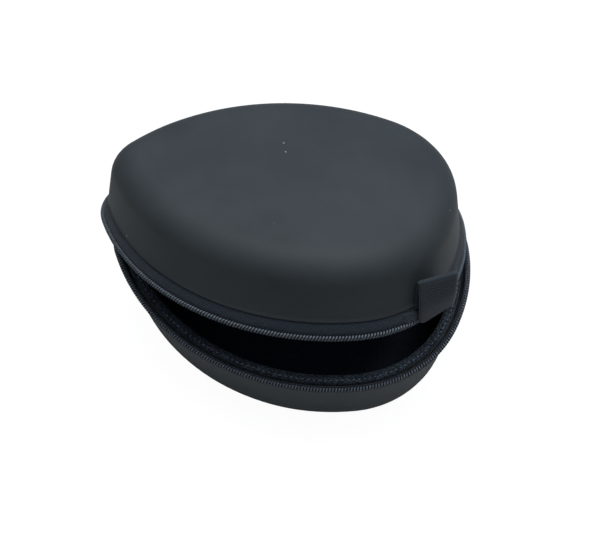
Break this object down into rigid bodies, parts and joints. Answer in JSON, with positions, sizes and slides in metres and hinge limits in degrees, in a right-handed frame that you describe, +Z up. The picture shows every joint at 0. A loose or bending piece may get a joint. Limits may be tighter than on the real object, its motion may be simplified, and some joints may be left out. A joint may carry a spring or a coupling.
{
  "type": "stethoscope hard case",
  "caption": "Teardrop clamshell hard case with moulded halves on a cloth hinge, a coil zipper round the rim and a webbing loop, standing ajar.",
  "frame": {"origin": "on the flat bottom of the base, under the middle of the rim outline", "axes": "+X to the wide end, +Y to the hinge side, +Z up"},
  "size_m": [0.1874, 0.1452, 0.1217],
  "materials": {
    "case_skin": "matte, finely grained",
    "eva_foam": "closed-cell foam",
    "lining_fabric": "knitted",
    "zipper_tape": "twill weave",
    "nylon_coil": "satin nylon",
    "filler_cord": "twisted",
    "binding_fabric": "woven",
    "hinge_fabric": "woven",
    "slider_metal": "semi-gloss",
    "webbing": "ribbed",
    "thread": "spun"
  },
  "bodies": {
    "base": {"base_outer_skin": "case_skin", "base_foam_shell": "eva_foam", "base_lining": "lining_fabric", "base_zipper_tape": "zipper_tape", "base_zipper_coil": "nylon_coil", "base_coil_core": "filler_cord", "base_rim_binding": "binding_fabric", "base_left_stop": "nylon_coil", "base_right_stop": "nylon_coil", "hinge_outer_strip": "hinge_fabric", "hinge_lining_strip": "lining_fabric"},
    "lid": {"lid_outer_skin": "case_skin", "lid_foam_shell": "eva_foam", "lid_lining": "lining_fabric", "lid_zipper_tape": "zipper_tape", "lid_zipper_coil": "nylon_coil", "lid_coil_core": "filler_cord", "lid_rim_binding": "binding_fabric", "lid_left_stop": "nylon_coil", "lid_right_stop": "nylon_coil", "carry_loop": "webbing", "carry_loop_bartack": "thread"},
    "slider": {"slider_body": "slider_metal"},
    "pull": {"slider_pull": "slider_metal"}
  },
  "joints": [
    {"name": "lid_hinge", "type": "hinge", "parent": "base", "child": "lid", "pos_m": [0.00196, 0.07591, 0.05], "axis": [-0.996, -0.0892, 0], "range_deg": [-14.6, 155.4], "deforming": ["hinge_outer_strip", "hinge_lining_strip"]},
    {"name": "slider_travel", "type": "hinge", "parent": "base", "child": "slider", "pos_m": [0.0301, 0.00815, 0.05], "axis": [0, 0, 1], "range_deg": [-43.5, 2]},
    {"name": "pull_swing", "type": "hinge", "parent": "slider", "child": "pull", "pos_m": [0.05828, 0.06439, 0.05], "axis": [0, 0, 1], "range_deg": [0, 110]}
  ]
}
